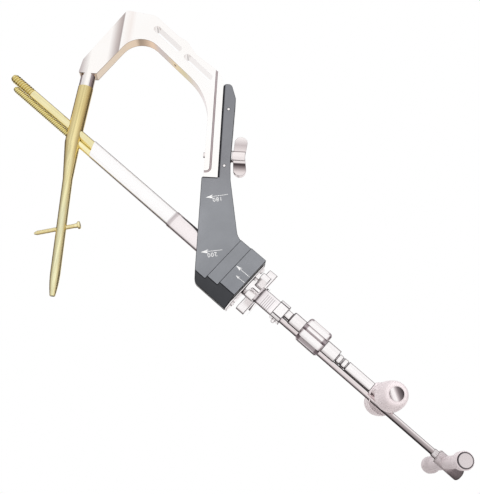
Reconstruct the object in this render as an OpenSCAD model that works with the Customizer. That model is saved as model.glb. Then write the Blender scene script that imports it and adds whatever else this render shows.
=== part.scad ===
// Aiming frame for an intramedullary nail, with its nail and both driven screws.
// The nail's lower end stands at the origin, its lower shaft runs up +Z, and the frame lies in the XZ plane.

/* [Nail] */
// Length of the nail
nail_len = 240; // [225:1:255]
// Diameter of the nail's lower shaft
nail_d = 10.6; // [9.5:0.1:12]
// Diameter of the nail's upper part
nail_top_d = 16.8; // [14.8:0.1:17.5]
// Length of the nail above its bend
nail_top_len = 67.8; // [62:0.1:72]
// Height of the guide axis crossing above the bend
cross_up = 12.3; // [9:0.1:15]
// Angle between the nail's upper part and its shaft
bend_deg = 5.6; // [4:0.1:8]
// Length over which the shaft widens below the bend
taper_len = 43; // [30:1:55]
// Length of the rounded tip
tip_len = 26; // [15:1:35]
// Diameter of the nail's flat end
tip_d = 5.6; // [5:0.1:7]
// Bore along the whole nail
cannula_d = 4.2; // [3:0.1:4.6]
// Distance from the tip to the locking bore
distal_z = 73.2; // [65:0.1:80]
// Slope of the locking bore
distal_deg = 15; // [10:0.5:20]

/* [Locking screw] */
// Thread diameter of the locking screw
lock_d = 4.9; // [4:0.1:5.5]
// Reach of the locking screw's tip past the nail's axis
lock_reach = 28.4; // [20:0.1:40]
// Distance from the nail's axis to the underside of the head
lock_head_out = 17.2; // [12:0.1:30]
// Diameter of the locking screw's head
lock_head_d = 8.2; // [7:0.1:10]
// Height of the locking screw's head
lock_head_h = 3.2; // [2.5:0.1:4]

/* [Guide axis] */
// Angle between the guide axis and the nail's lower shaft
neck_deg = 128.85; // [126:0.05:131]
// Distance between the two screws' axes
screw_gap = 8.5; // [8.2:0.1:8.8]
// Offset of the upper screw above the guide axis
lag_up = 2.7; // [2:0.1:3.2]

// Distance from the guide axis crossing back to the screws' rear ends
screw_back = 38.2; // [36:0.1:42]

/* [Lag screw] */
// Outer diameter of the lag screw's thread
lag_d = 10.4; // [9.8:0.1:10.8]
// Diameter of the lag screw's shank
lag_shank_d = 9.9; // [9:0.1:10]
// Reach of the lag screw's tip past the nail
lag_reach = 98.4; // [80:0.1:110]
// Length of the lag screw's thread
lag_thread_len = 31; // [25:1:40]

/* [Compression screw] */
// Outer diameter of the compression screw
comp_d = 7.2; // [6.6:0.1:7.6]
// Reach of the compression screw's tip past the nail
comp_reach = 87; // [75:0.1:100]
// Advance of the thread for each turn
comp_pitch = 2.4; // [1.5:0.1:3]

/* [Handle] */
// Distance from the nail's axis to the limb's outer face
reach = 160.5; // [156:0.5:166]
// Height of the handle's top above the guide axis crossing
rise = 155.8; // [150:0.1:162]
// Thickness of the handle
handle_t = 14; // [12:0.5:16]
// Width of the straight limb
limb_w = 15.2; // [14:0.1:17]
// Width of the nose over the nail
nose_w = 20; // [18:0.1:22]
// Height of the nose's lower face above the guide axis crossing
nose_h = 70.8; // [68:0.1:74]
// Angle by which the nose limb thickens on each face
nose_flare_deg = 1.5; // [1:0.1:2]
// Length of each slot
slot_len = 43; // [36:0.5:44]
// Width of each slot
slot_w = 7.6; // [6:0.1:9]
// Bridge between the slots
slot_bridge = 7.4; // [6:0.1:10]
// Slope of the row of slots
slot_deg = 42.8; // [42:0.1:43.5]

/* [Nail bolt] */
// Thread diameter of the nail bolt
bolt_d = 7; // [6:0.1:7.4]
// Head diameter of the nail bolt
bolt_head_d = 10.4; // [9.5:0.1:11]
// Head height of the nail bolt
bolt_head_h = 9; // [7:0.5:11]
// Length of the bolt's thread in the nail
bolt_bite = 12; // [9:0.5:14]
// Bore along the bolt
bolt_bore_d = 3.4; // [2.5:0.1:3.8]

/* [Arm] */
// Thickness of the arm
arm_t = 22; // [20:0.5:24]
// Distance from the guide axis crossing down to the shoulder under the limb
shoulder_drop = 47.7; // [44:0.1:52]
// Width of the shoulder under the limb
shoulder_w = 16.9; // [15.4:0.1:18]
// Height of the tongue's top above the guide axis crossing
tongue_top = 65.3; // [60:0.1:70]
// Width of the tongue
tongue_w = 14.7; // [14:0.1:16]
// Width of the tongue at the wing screw
tongue_waist_w = 12.8; // [12:0.1:13.8]
// Width of the block above the guide axis
block_up = 27.2; // [22:0.1:30]
// Width of the block below the guide axis
block_down = 36.7; // [34:0.1:40]
// Distance along the guide axis from the limb's outer face to the block's end
block_past = 49.4; // [44:0.1:56]
// Distance from the arm's throat to the block's end, beyond the block's upper width
throat_back = 12; // [8:0.5:16]
// Length of the block's last terrace
terrace_end_len = 20.3; // [16:0.1:24]
// Length of the block's middle terrace
terrace_mid_len = 14.3; // [11:0.1:18]
// Rise of each terrace
terrace_rise = 2.5; // [1.5:0.1:3]
// Width of the ridge between the lower bevels
ridge_t = 8; // [6:0.5:10]
// Bore for the locking screw's drill sleeve
guide_bore_d = 11; // [9:0.1:12]

/* [Arm fastening] */
// Diameter of the dowels between tongue and limb
dowel_d = 8; // [6:0.1:8.4]
// Diameter of the bright cross pins
pin_d = 2.8; // [2:0.1:3.2]
// Height of the upper pin above the guide axis crossing
pin_up = 34; // [28:0.5:38]
// Depth of the lower pin below the guide axis crossing
pin_down = 33.8; // [31:0.1:37]
// Depth of the wing screw below the guide axis crossing
wing_drop = 18; // [15:0.1:20]
// Diameter of the wing screw's stud
stud_d = 6; // [5:0.1:6.4]
// Diameter of the wing screw's hub
wing_hub_d = 12.8; // [11:0.1:14]
// Length of the wing screw's hub
wing_hub_len = 14; // [12:0.5:16]
// Distance across the two wings
wing_span = 46; // [40:0.5:52]
// Width of each wing's round end
wing_end_d = 14; // [12:0.1:15]
// Thickness of the wings
wing_t = 6; // [4:0.1:8]
// Thickness of the washer
washer_t = 1.4; // [1:0.1:2]
// Diameter of the washer
washer_d = 13.6; // [12:0.1:15]

/* [Sleeve] */
// Wall of the sleeve
sleeve_wall = 0.5; // [0.4:0.05:0.6]
// Distance along the guide axis to the sleeve's tip
sleeve_tip = 29.5; // [27:0.5:33]
// Slant of the sleeve's tip
tip_slant_deg = 24; // [15:1:30]
// Distance along the guide axis to the sleeve's thicker part
step_at = 149; // [130:0.5:160]
// Added wall of the sleeve's thicker part
step_wall = 0.5; // [0.3:0.05:0.7]
// Length of the ramps that lead up to the thicker part's faces
ramp_len = 2.8; // [2:0.1:4]
// Wall of the bush round the sleeve
bush_wall = 2; // [1.5:0.1:2.6]
// Length of the bush
bush_len = 54; // [46:0.5:56]

/* [End plate and star wheel] */
// Thickness of the end plate
plate_t = 2; // [1.5:0.1:2.5]
// Width of the end plate
plate_w = 20; // [18:0.5:22]
// Diameter of the thread that carries the star wheel
star_thread_d = 19.8; // [19.2:0.1:19.8]
// Diameter of the star wheel's hub
star_hub_d = 23; // [22.4:0.1:25]
// Length of the star wheel's hub
star_hub_len = 15.5; // [13:0.5:17]
// Diameter across the star wheel's lobes
star_d = 54.5; // [48:0.5:58]
// Thickness of the star wheel's lobes
star_t = 10; // [8:0.5:12]
// Width of each lobe
lobe_w = 8; // [6:0.1:9]
// Length of the graduated tube
scale_len = 21; // [18:0.5:24]
// Length of the flatted collar
collar_len = 11.6; // [9:0.1:13]
// Diameter of the flatted collar
collar_d = 24.6; // [24:0.1:26]
// Width across the collar's flats
collar_flat_w = 20.4; // [20:0.1:22]
// Diameter of the collar's set screw
set_screw_d = 4; // [3:0.1:5]
// How far the set screw stands out
set_screw_out = 3.2; // [2:0.1:4]

/* [Lag driver] */
// Diameter of the lag driver's shaft
lag_shaft_d = 9.6; // [9:0.1:9.7]
// Gap between the collar and the driver's first step
travel_gap = 6.1; // [5.6:0.1:8]
// Diameter of the first step
step1_d = 15.2; // [13:0.1:16.4]
// Length of the first step
step1_len = 15.8; // [12:0.1:18]
// Diameter of the fluted knob
knob_d = 28.2; // [26:0.1:30]
// Length of the fluted knob
knob_len = 28.1; // [24:0.1:32]
// Diameter of the second step
step2_d = 15.4; // [13:0.1:16.4]
// Length of the second step
step2_len = 16.7; // [14:0.1:20]
// Length of the neck that carries the grooved rings
rings_len = 12.8; // [10:0.1:15]
// Diameter of the grooved rings
rings_d = 10.2; // [9.6:0.1:11]
// Diameter of the neck under the rings
neck_d = 7; // [6:0.1:7.4]
// Length of the bare shaft before the handle
bare_len = 32.2; // [26:0.1:38]
// Diameter of that bare shaft
bare_d = 11; // [10:0.1:12]
// Diameter of the collar in front of the first cross bar
lag_hub_d = 25; // [22:0.5:27]
// Length of that collar's cone
lag_cone_len = 6; // [4:0.5:8]
// Length of the first cross bar
lag_bar_len = 121; // [104:1:134]
// Diameter of the first cross bar's middle
lag_bar_d = 31; // [29:0.5:33]
// Diameter of the first cross bar's flat ends
lag_end_d = 15; // [14.4:0.1:17]
// Diameter of the first cross bar's end caps
lag_cap_d = 13.6; // [11:0.1:14]
// Turn of the first cross bar about its driver
lag_bar_deg = 3; // [-4:0.5:6]
// Reach of the first cross bar's notch towards its near end
notch_len = 28; // [24:1:38]

/* [Compression driver] */
// Diameter of the compression driver's rod
rod_d = 6.8; // [6:0.1:6.9]
// Distance along the guide axis to the second cross bar
bar2_at = 516; // [505:1:530]
// Diameter of the ferrule
ferrule_d = 8.6; // [8:0.1:10]
// Length of the ferrule
ferrule_len = 5; // [4:0.1:7]
// Diameter of the second hub
comp_hub_d = 13.8; // [13:0.1:15]
// Length of the second hub
comp_hub_len = 29; // [26:0.5:32]
// Length of the second cross bar
comp_bar_len = 122; // [100:1:140]
// Diameter of the second cross bar's ends
comp_bulb_d = 17.2; // [16:0.1:19]
// Diameter of the second cross bar's waist
comp_waist_d = 12.4; // [11:0.1:13.4]
// Diameter of the second cross bar's end caps
comp_cap_d = 15.2; // [13:0.1:15.6]

/* [Fits] */
// Radial clearance of a sliding or turning piece
slide_clear = 0.15; // [0.1:0.01:0.2]
// Radial clearance of the wing screw's stud
stud_clear = 0.06; // [0.04:0.01:0.1]
// Clearance round the compression driver in the lag driver
rod_clear = 0.5; // [0.3:0.05:0.6]

/* [Hidden] */
$fn = 64;

// How far a cut runs past the face it opens
over = 1;
// How far a twin outline's flat sides lie inside its two circles
side_inset = 0.02;
// How far the collar starts before the first cross bar
collar_past = 1.2;
// Facets of a rounded corner in a flat outline
corner_steps = 8;
// Heights of the bend and of the guide axis crossing above the nail's tip
bend_z = nail_len - nail_top_len * cos(bend_deg);
cross_z = bend_z + cross_up * cos(bend_deg);
// Places of the two screws across the guide axis
lag_x = -lag_up;
comp_x = screw_gap - lag_up;
lag_bore_r = lag_d / 2 + slide_clear;
comp_bore_r = comp_d / 2 + slide_clear;
sleeve_r = lag_bore_r + sleeve_wall;
sleeve_far_x = comp_x + comp_bore_r + sleeve_wall - sleeve_r;
sleeve_mid_x = (sleeve_far_x + lag_x) / 2;
step_r = sleeve_r + step_wall;
rod_bore_r = rod_d / 2 + rod_clear;

// Stations along the guide axis
block_end = reach / sin(neck_deg) + block_past;
seam2 = block_end - terrace_end_len;
seam1 = seam2 - terrace_mid_len;
plate_end = block_end + plate_t;
star_start = plate_end + slide_clear;
star_end = star_start + star_hub_len;
scale_end = star_end + scale_len;
collar_end = scale_end + collar_len;
step1_start = collar_end + travel_gap;
knob_start = step1_start + step1_len;
step2_start = knob_start + knob_len;
rings_start = step2_start + step2_len;
bare_start = rings_start + rings_len;
lag_hub_start = bare_start + bare_len;
lag_bar_at = lag_hub_start + collar_past + lag_bar_d / 2;
comp_hub_start = bar2_at - comp_hub_len * 0.38;

// Places in the frame's plane
limb_in = reach - limb_w;
nose_x = (nose_h + cross_z - bend_z) * tan(bend_deg);
arm_left = reach - shoulder_w;
wing_x = reach + tongue_waist_w;
pin_places = [[reach + tongue_w / 2, pin_up], [reach + tongue_waist_w / 2, -pin_down]];

// Frames

module upper() {
    translate([0, 0, cross_z]) children();
}

module guide() {
    upper() rotate([0, neck_deg, 0]) children();
}

module nail_head() {
    translate([0, 0, bend_z]) rotate([0, bend_deg, 0]) children();
}

module locking() {
    translate([0, 0, distal_z]) rotate([0, 90 - distal_deg, 0]) children();
}

module lag_line() {
    guide() translate([lag_x, 0, 0]) children();
}

module comp_line() {
    guide() translate([comp_x, 0, 0]) children();
}

module plate(thickness) {
    upper() rotate([90, 0, 0]) linear_extrude(thickness, center = true) children();
}

module across(x, z) {
    upper() translate([x, 0, z]) rotate([90, 0, 0]) children();
}

module sideways(x, z) {
    upper() translate([x, 0, z]) rotate([0, 90, 0]) children();
}

// Points

// A point of the frame's plane from its place along and across the guide axis
function at_guide(s, x) = [s * sin(neck_deg) + x * cos(neck_deg), s * cos(neck_deg) - x * sin(neck_deg)];

function unit(v) = v / norm(v);

// The arc that rounds corner b of a path a, b, c by radius r
function corner_arc(a, b, c, r) =
    let (u = unit(a - b), v = unit(c - b), half = acos(u * v) / 2)
    let (centre = b + unit(u + v) * r / sin(half))
    let (p = b + u * r / tan(half) - centre, q = b + v * r / tan(half) - centre)
    let (start = atan2(p[1], p[0]), turn = atan2(p[0] * q[1] - p[1] * q[0], p * q))
    [for (i = [0 : corner_steps]) centre + r * [cos(start + turn * i / corner_steps),
        sin(start + turn * i / corner_steps)]];

// A closed outline whose rows are x, y and the corner's radius
function rounded(rows) =
    let (n = len(rows), at = [for (row = rows) [row[0], row[1]]])
    [for (i = [0 : n - 1]) each
        rows[i][2] > 0 ? corner_arc(at[(i + n - 1) % n], at[i], at[(i + 1) % n], rows[i][2]) : [at[i]]];

// Shapes that repeat

// A bar or cut round the two screws' axes: a cylinder on each and the flat sides that join them
module twin_rod(lag_r, comp_r, from, to) {
    lean = asin((lag_r - comp_r) / screw_gap);
    side = [sin(lean), cos(lean)];
    far_side = [side[0], -side[1]];
    lag_side_r = lag_r - side_inset;
    comp_side_r = comp_r - side_inset;
    guide() translate([0, 0, from]) {
        translate([lag_x, 0, 0]) cylinder(h = to - from, r = lag_r);
        translate([comp_x, 0, 0]) cylinder(h = to - from, r = comp_r);
        linear_extrude(to - from) polygon([
            [lag_x, 0] + lag_side_r * side, [comp_x, 0] + comp_side_r * side,
            [comp_x, 0] + comp_side_r * far_side, [lag_x, 0] + lag_side_r * far_side]);
    }
}

// A bar or cut with the sleeve's oblong outline, larger all round by more
module oblong_rod(more, from, to) {
    r = sleeve_r + more;
    guide() translate([0, 0, from]) {
        translate([lag_x, 0, 0]) cylinder(h = to - from, r = r);
        translate([sleeve_far_x, 0, 0]) cylinder(h = to - from, r = r);
        translate([lag_x, side_inset - r, 0])
            cube([sleeve_far_x - lag_x, 2 * (r - side_inset), to - from]);
    }
}

module twin_bores(lag_r, comp_r, from, to) {
    guide() translate([0, 0, from]) {
        translate([lag_x, 0, 0]) cylinder(h = to - from, r = lag_r);
        translate([comp_x, 0, 0]) cylinder(h = to - from, r = comp_r);
    }
}

module tube(r, bore, from, to) {
    translate([0, 0, from]) difference() {
        cylinder(h = to - from, r = r);
        translate([0, 0, -over]) cylinder(h = to - from + 2 * over, r = bore);
    }
}

// The channel that lets the compression driver pass beside the lag driver
module rod_channel(from, to) {
    comp_line() translate([0, 0, from - over]) cylinder(h = to - from + 2 * over, r = rod_bore_r);
}

// A cross bar turned about the depth axis: two rounded ends and a waist
module cross_bar(length, bulb_d, waist_d, cap_d, cap_depth) {
    half = length / 2;
    bulb_r = bulb_d / 2;
    waist_r = waist_d / 2;
    bulb_len = bulb_d * 0.62;
    blend_len = bulb_d * 0.7;
    steps = 6;
    edge_r = bulb_r * 0.22;
    shoulder = half - bulb_len;
    ease = [for (i = [0 : steps]) [
        waist_r + (bulb_r - waist_r) * (1 - cos(180 * i / steps)) / 2,
        shoulder - blend_len + blend_len * i / steps]];
    edge = [for (i = [0 : steps]) [
        bulb_r - edge_r + edge_r * cos(90 * i / steps),
        half - edge_r + edge_r * sin(90 * i / steps)]];
    upper_half = concat(ease, edge, [[cap_d / 2, half], [cap_d / 2, half - cap_depth]]);
    n = len(upper_half);
    lower_half = [for (i = [n - 1 : -1 : 0]) [upper_half[i][0], -upper_half[i][1]]];
    rotate([90, 0, 0]) rotate_extrude()
        polygon(concat([[0, half - cap_depth]], [for (i = [n - 1 : -1 : 0]) upper_half[i]],
            [for (i = [n - 1 : -1 : 0]) lower_half[i]], [[0, -half + cap_depth]]));
}

// A barrel-shaped cross bar, full in the middle and round towards its flat ends
module barrel_bar(length, mid_d, end_d, cap_d, cap_depth) {
    half = length / 2;
    fullness = 0.77;
    steps = 12;
    side = [for (i = [0 : steps]) [
        end_d / 2 + (mid_d - end_d) / 2 * pow(cos(90 * i / steps), fullness),
        half * pow(sin(90 * i / steps), fullness)]];
    upper_half = concat(side, [[cap_d / 2, half], [cap_d / 2, half - cap_depth], [0, half - cap_depth]]);
    n = len(upper_half);
    rotate([90, 0, 0]) rotate_extrude()
        polygon(concat(upper_half, [for (i = [n - 1 : -1 : 1]) [upper_half[i][0], -upper_half[i][1]]]));
}

// The two caps let into a cross bar's ends
module bar_caps(length, cap_d, cap_depth, proud) {
    edge = proud * 0.6;
    for (side = [0, 180]) rotate([90 + side, 0, 0])
        translate([0, 0, length / 2 - cap_depth]) rotate_extrude()
            polygon([[0, 0], [cap_d / 2, 0], [cap_d / 2, cap_depth + proud - edge],
                [cap_d / 2 - edge, cap_depth + proud], [0, cap_depth + proud]]);
}

cap_depth = 3;
cap_proud = 1.2;

// Nail side

module nail_solid() {
    shaft_r = nail_d / 2;
    top_r = nail_top_d / 2;
    tip_r = tip_d / 2;
    tip_steps = 8;
    bend_land = 1;
    taper_start = bend_z - taper_len;
    tip_curve = [for (i = [0 : tip_steps])
        [shaft_r - (shaft_r - tip_r) * pow(1 - i / tip_steps, 2), tip_len * i / tip_steps]];
    rotate_extrude() polygon(concat([[0, 0]], tip_curve,
        [[shaft_r, taper_start], [top_r, bend_z - bend_land], [top_r, bend_z], [0, bend_z]]));
    nail_head() cylinder(h = nail_top_len, r = top_r);
    translate([0, 0, bend_z]) sphere(r = top_r);
}

bolt_hole_r = bolt_d / 2 + stud_clear;
// How far the upper bore's wall stands back from the lower bore's
head_bore_step = 0.5;

module nail() {
    color("goldenrod") difference() {
        nail_solid();
        translate([0, 0, -over]) cylinder(h = bend_z + over, r = cannula_d / 2);
        nail_head() translate([0, 0, -over])
            cylinder(h = nail_top_len + 2 * over, r = cannula_d / 2 + head_bore_step);
        nail_head() translate([0, 0, nail_top_len - bolt_bite - over])
            cylinder(h = bolt_bite + 2 * over, r = bolt_hole_r);
        twin_bores(lag_bore_r, comp_bore_r, -2 * nail_top_d, 2 * nail_top_d);
        locking() translate([0, 0, -nail_d]) cylinder(h = 2 * nail_d, r = lock_d / 2 + slide_clear);
    }
}

// Heights along the nail's upper axis, from the bend
bolt_seat = cross_up + nose_h / cos(bend_deg) + bolt_head_d;
bolt_tip = nail_top_len - bolt_bite;

module nail_bolt() {
    socket_d = 6;
    socket_depth = 5;
    color("silver") nail_head() difference() {
        union() {
            translate([0, 0, bolt_tip]) cylinder(h = bolt_seat - bolt_tip, r = bolt_d / 2);
            translate([0, 0, bolt_seat]) cylinder(h = bolt_head_h, r = bolt_head_d / 2);
        }
        translate([0, 0, bolt_tip - over])
            cylinder(h = bolt_seat + bolt_head_h - bolt_tip + 2 * over, r = bolt_bore_d / 2);
        translate([0, 0, bolt_seat + bolt_head_h - socket_depth])
            cylinder(h = socket_depth + over, r = socket_d / 2, $fn = 6);
    }
}

module distal_screw() {
    point_len = lock_d * 0.8;
    socket_d = lock_head_d * 0.45;
    dome = lock_head_h * 0.35;
    color("goldenrod") locking() difference() {
        union() {
            translate([0, 0, -lock_reach]) cylinder(h = point_len, r1 = lock_d * 0.2, r2 = lock_d / 2);
            translate([0, 0, point_len - lock_reach])
                cylinder(h = lock_head_out + lock_reach - point_len, r = lock_d / 2);
            translate([0, 0, lock_head_out]) cylinder(h = lock_head_h - dome, r = lock_head_d / 2);
            translate([0, 0, lock_head_out + lock_head_h - dome])
                cylinder(h = dome, r1 = lock_head_d / 2, r2 = lock_head_d / 2 - dome);
        }
        translate([0, 0, lock_head_out + lock_head_h * 0.35])
            cylinder(h = lock_head_h, r = socket_d / 2, $fn = 6);
    }
}

drive_depth = 8;

module lag_screw() {
    nose_len = lag_d * 0.35;
    thread_end = lag_thread_len - lag_reach;
    color("goldenrod") difference() {
        lag_line() difference() {
            union() {
                translate([0, 0, -lag_reach]) cylinder(h = nose_len, r1 = lag_d * 0.34, r2 = lag_d / 2);
                translate([0, 0, nose_len - lag_reach])
                    cylinder(h = lag_thread_len - nose_len, r = lag_d / 2);
                translate([0, 0, thread_end]) cylinder(h = screw_back - thread_end, r = lag_shank_d / 2);
            }
            translate([0, 0, -lag_reach - over])
                cylinder(h = lag_reach + screw_back + 2 * over, r = bolt_bore_d / 2);
            translate([0, 0, screw_back - drive_depth])
                cylinder(h = drive_depth + over, r = neck_d / 2);
        }
        comp_line() translate([0, 0, -lag_reach - over])
            cylinder(h = lag_reach + screw_back + 2 * over, r = comp_bore_r);
    }
}

module compression_screw() {
    nose_len = comp_d * 0.3;
    color("goldenrod") comp_line() difference() {
        union() {
            translate([0, 0, -comp_reach]) cylinder(h = nose_len, r1 = comp_d * 0.38, r2 = comp_d / 2);
            translate([0, 0, nose_len - comp_reach])
                cylinder(h = comp_reach + screw_back - nose_len, r = comp_d / 2);
        }
        translate([0, 0, screw_back - drive_depth])
            cylinder(h = drive_depth + over, r = rod_d * 0.35);
        translate([0, 0, -comp_reach - over]) cylinder(h = drive_depth, r = comp_d * 0.2);
    }
}

// Handle

// Arch corners as shares of reach and rise
arch_out_shares = [[0.008, 0.562], [0.275, 1], [0.483, 0.971], [0.666, 0.801], [0.723, 0.769],
    [0.791, 0.665], [0.966, 0.525], [1, 0.443]];
// Corner radii of those points, as shares of the limb's width
arch_out_r_shares = [0.5, 0.3, 1.1, 0.8, 0.5, 0.6, 0.4, 0.6];
knee_share = 0.338;
crown_shares = [0.380, 0.847];
// Radii of the inner outline at the crown and the knee
crown_r = 25.3;
knee_r = 72;
edge_r = 1;

function at_arch(shares) = [shares[0] * reach, shares[1] * rise];

function with_r(p, r) = [p[0], p[1], r];

handle_rows = concat(
    [[nose_x - nose_w / 2, nose_h, edge_r]],
    [for (i = [0 : len(arch_out_shares) - 1])
        with_r(at_arch(arch_out_shares[i]), arch_out_r_shares[i] * limb_w)],
    [[reach, -shoulder_drop, 0], [limb_in, -shoulder_drop, edge_r]],
    [[limb_in, knee_share * rise, knee_r]],
    [with_r(at_arch(crown_shares), crown_r)],
    [[nose_x + nose_w / 2, nose_h, edge_r]]);

// The crease across the crown, left of which the handle thickens towards the nose
crease_shares = [0.264, 0.84];
crease_deg = 5.4;

module handle_body() {
    far = reach + rise;
    flare = far * tan(nose_flare_deg);
    intersection() {
        plate(handle_t + 2 * flare) polygon(rounded(handle_rows));
        upper() translate([crease_shares[0] * reach, 0, crease_shares[1] * rise])
            rotate([0, crease_deg, 0]) linear_extrude(2 * far, center = true)
                polygon([[far, -handle_t / 2], [far, handle_t / 2], [0, handle_t / 2],
                    [-far, handle_t / 2 + flare], [-far, -handle_t / 2 - flare], [0, -handle_t / 2]]);
    }
}

// How far the nose's spigot lies inside the nail's outline
spigot_step = 0.5;
spigot_d = nail_top_d - spigot_step;

slot_start_shares = [0.485, 0.872];

module slots() {
    for (i = [0, 1])
        upper() translate([slot_start_shares[0] * reach, 0, slot_start_shares[1] * rise])
            rotate([0, slot_deg, 0]) translate([i * (slot_len + slot_bridge), 0, 0])
                rotate([90, 0, 0]) linear_extrude(2 * handle_t, center = true) {
                    translate([slot_w / 2, 0]) circle(slot_w / 2);
                    translate([slot_len - slot_w / 2, 0]) circle(slot_w / 2);
                    translate([slot_w / 2, -slot_w / 2]) square([slot_len - slot_w, slot_w]);
                }
}

// The round-bottomed groove that sets off the limb's flange, on both faces
groove_r = 1.15;
groove_in = 6.8;
groove_bend_r = 5;
groove_foot = 7.6;

module grooves() {
    groove_x = limb_in + groove_in;
    foot_z = groove_foot - shoulder_drop;
    for (side = [-1, 1]) upper() translate([0, side * handle_t / 2, 0]) {
        translate([groove_x, 0, foot_z + groove_bend_r]) cylinder(h = rise, r = groove_r);
        translate([groove_x - groove_bend_r, 0, foot_z + groove_bend_r]) rotate([90, 0, 0])
            rotate([0, 0, -90]) rotate_extrude(angle = 90) translate([groove_bend_r, 0]) circle(groove_r);
        translate([groove_x - groove_bend_r, 0, foot_z]) rotate([0, -90, 0])
            cylinder(h = limb_w, r = groove_r);
    }
}

// A small blind hole in the arch's inner face, between the two slots
probe_hole_d = 3.2;
probe_hole_depth = 6;
probe_shares = [0.634, 0.570];

dowel_depth = limb_w * 0.6;
dowel_reach = tongue_waist_w * 0.82;

module handle() {
    color("gainsboro") difference() {
        union() {
            handle_body();
            nail_head() translate([0, 0, nail_top_len])
                cylinder(h = bolt_seat - nail_top_len - over, r = spigot_d / 2);
        }
        slots();
        grooves();
        nail_head() translate([0, 0, nail_top_len - over])
            cylinder(h = bolt_seat - nail_top_len + 2 * over, r = bolt_hole_r);
        nail_head() translate([0, 0, bolt_seat]) cylinder(h = rise, r = bolt_head_d / 2 + slide_clear);
        upper() translate([probe_shares[0] * reach, 0, probe_shares[1] * rise]) rotate([0, 40.8, 0])
            translate([0, 0, -over]) cylinder(h = probe_hole_depth + over, r = probe_hole_d / 2);
        for (at = pin_places) sideways(reach - dowel_depth, at[1])
            cylinder(h = dowel_depth + over, r = dowel_d / 2);
        sideways(limb_in - over, -wing_drop) cylinder(h = limb_w + 2 * over, r = stud_d / 2 + stud_clear);
    }
}

// Arm

bevel_run = block_down * 0.406;
corner_s = (arm_left - block_down * cos(neck_deg)) / sin(neck_deg);
corner_r = 18;
ridge_corner_r = 8;
// How far the tongue's waist reaches below the shoulder
waist_foot = 2.3;
waist_low = shoulder_drop + waist_foot;
notch_r = 2;

module arm_outline() {
    throat = at_guide(block_end - block_up - throat_back, -block_up);
    polygon(rounded([
        [reach, tongue_top, tongue_w * 0.28],
        [reach + tongue_w * 0.62, tongue_top, tongue_w * 0.32],
        [reach + tongue_w, tongue_top - tongue_w * 1.2, tongue_w * 0.6],
        [reach + tongue_waist_w, -wing_drop * 1.6, tongue_w],
        [reach + tongue_waist_w * 1.1, -waist_low, tongue_w],
        with_r(throat, corner_r),
        with_r(at_guide(block_end, -block_up), edge_r),
        with_r(at_guide(block_end, block_down), edge_r),
        with_r(at_guide(corner_s, block_down), ridge_corner_r),
        [arm_left, -shoulder_drop, notch_r],
        [reach, -shoulder_drop, 0]]));
}

// The arm's thickness along the guide axis: the body and two rising terraces
module terraces() {
    far = block_end + reach;
    half = [for (i = [0 : 2]) arm_t / 2 + i * terrace_rise];
    front = [[-far, half[0]], [seam1, half[0]], [seam1, half[1]], [seam2, half[1]], [seam2, half[2]],
        [far, half[2]]];
    back = [for (i = [5 : -1 : 0]) [front[i][0], -front[i][1]]];
    guide() rotate([0, -90, 0]) linear_extrude(2 * far, center = true) polygon(concat(front, back));
}

// The prism whose lower sides bevel the block down to its ridge
module bevel_prism() {
    far = block_end + reach;
    top_half = arm_t / 2 + 2 * terrace_rise;
    slope = (top_half - ridge_t / 2) / bevel_run;
    wide = ridge_t / 2 + far * slope;
    guide() linear_extrude(2 * far, center = true) polygon([
        [block_down, ridge_t / 2], [block_down - far, wide],
        [block_down - far, -wide], [block_down, -ridge_t / 2]]);
}

module aiming_arm() {
    color("dimgray") difference() {
        intersection() {
            plate(arm_t + 4 * terrace_rise) arm_outline();
            terraces();
            bevel_prism();
        }
        oblong_rod(step_wall + bush_wall, block_end - bush_len, block_end + over);
        oblong_rod(step_wall + 2 * slide_clear, step_at, block_end);
        locking() translate([0, 0, lock_head_out + lock_head_h + tip_len])
            cylinder(h = 2 * reach, r = guide_bore_d / 2);
        for (at = pin_places) {
            sideways(reach - over, at[1]) cylinder(h = dowel_reach + over, r = dowel_d / 2);
            across(at[0], at[1]) cylinder(h = arm_t + 2 * over, r = pin_d / 2, center = true);
        }
        sideways(reach - over, -wing_drop)
            cylinder(h = tongue_w + 2 * over, r = stud_d / 2 + slide_clear);
        sideways(wing_x, -wing_drop) cylinder(h = tongue_w, r = washer_d / 2 + slide_clear);
        for (x = plate_screw_places) guide() translate([x, 0, block_end - plate_screw_len])
            cylinder(h = plate_screw_len + over, r = plate_screw_d / 2);
    }
}

module arm_dowels() {
    color("silver") difference() {
        for (at = pin_places) sideways(reach - dowel_depth, at[1])
            cylinder(h = dowel_depth + dowel_reach, r = dowel_d / 2);
        for (at = pin_places)
            across(at[0], at[1]) cylinder(h = arm_t + 2 * over, r = pin_d / 2, center = true);
    }
}

module arm_pins() {
    color("whitesmoke") for (at = pin_places)
        across(at[0], at[1]) cylinder(h = arm_t, r = pin_d / 2, center = true);
}

module wing_washer() {
    color("silver") sideways(wing_x, -wing_drop) tube(washer_d / 2, stud_d / 2 + slide_clear, 0, washer_t);
}

// How far the wings' round ends stand out past the hub
wing_end_out = 2;
// How far the stud's tip stands out of the limb
stud_past = 2;

module wing_screw() {
    hub_x = wing_x + washer_t;
    arm_z = wing_span / 2 - wing_end_d / 2;
    end_x = wing_hub_len - wing_end_d / 2 + wing_end_out;
    color("gainsboro") upper() translate([hub_x, 0, -wing_drop]) {
        rotate([0, 90, 0]) cylinder(h = wing_hub_len, r = wing_hub_d / 2);
        rotate([0, -90, 0]) cylinder(h = washer_t + tongue_waist_w + limb_w + stud_past, r = stud_d / 2);
        rotate([90, 0, 0]) linear_extrude(wing_t, center = true) {
            for (side = [-1, 1]) {
                translate([end_x, side * arm_z]) circle(wing_end_d / 2);
                polygon([[edge_r, 0], [wing_hub_len, 0],
                    [end_x + wing_end_d / 2, side * arm_z], [end_x - wing_end_d / 2, side * arm_z]]);
            }
        }
    }
}

// Block fittings

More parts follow.
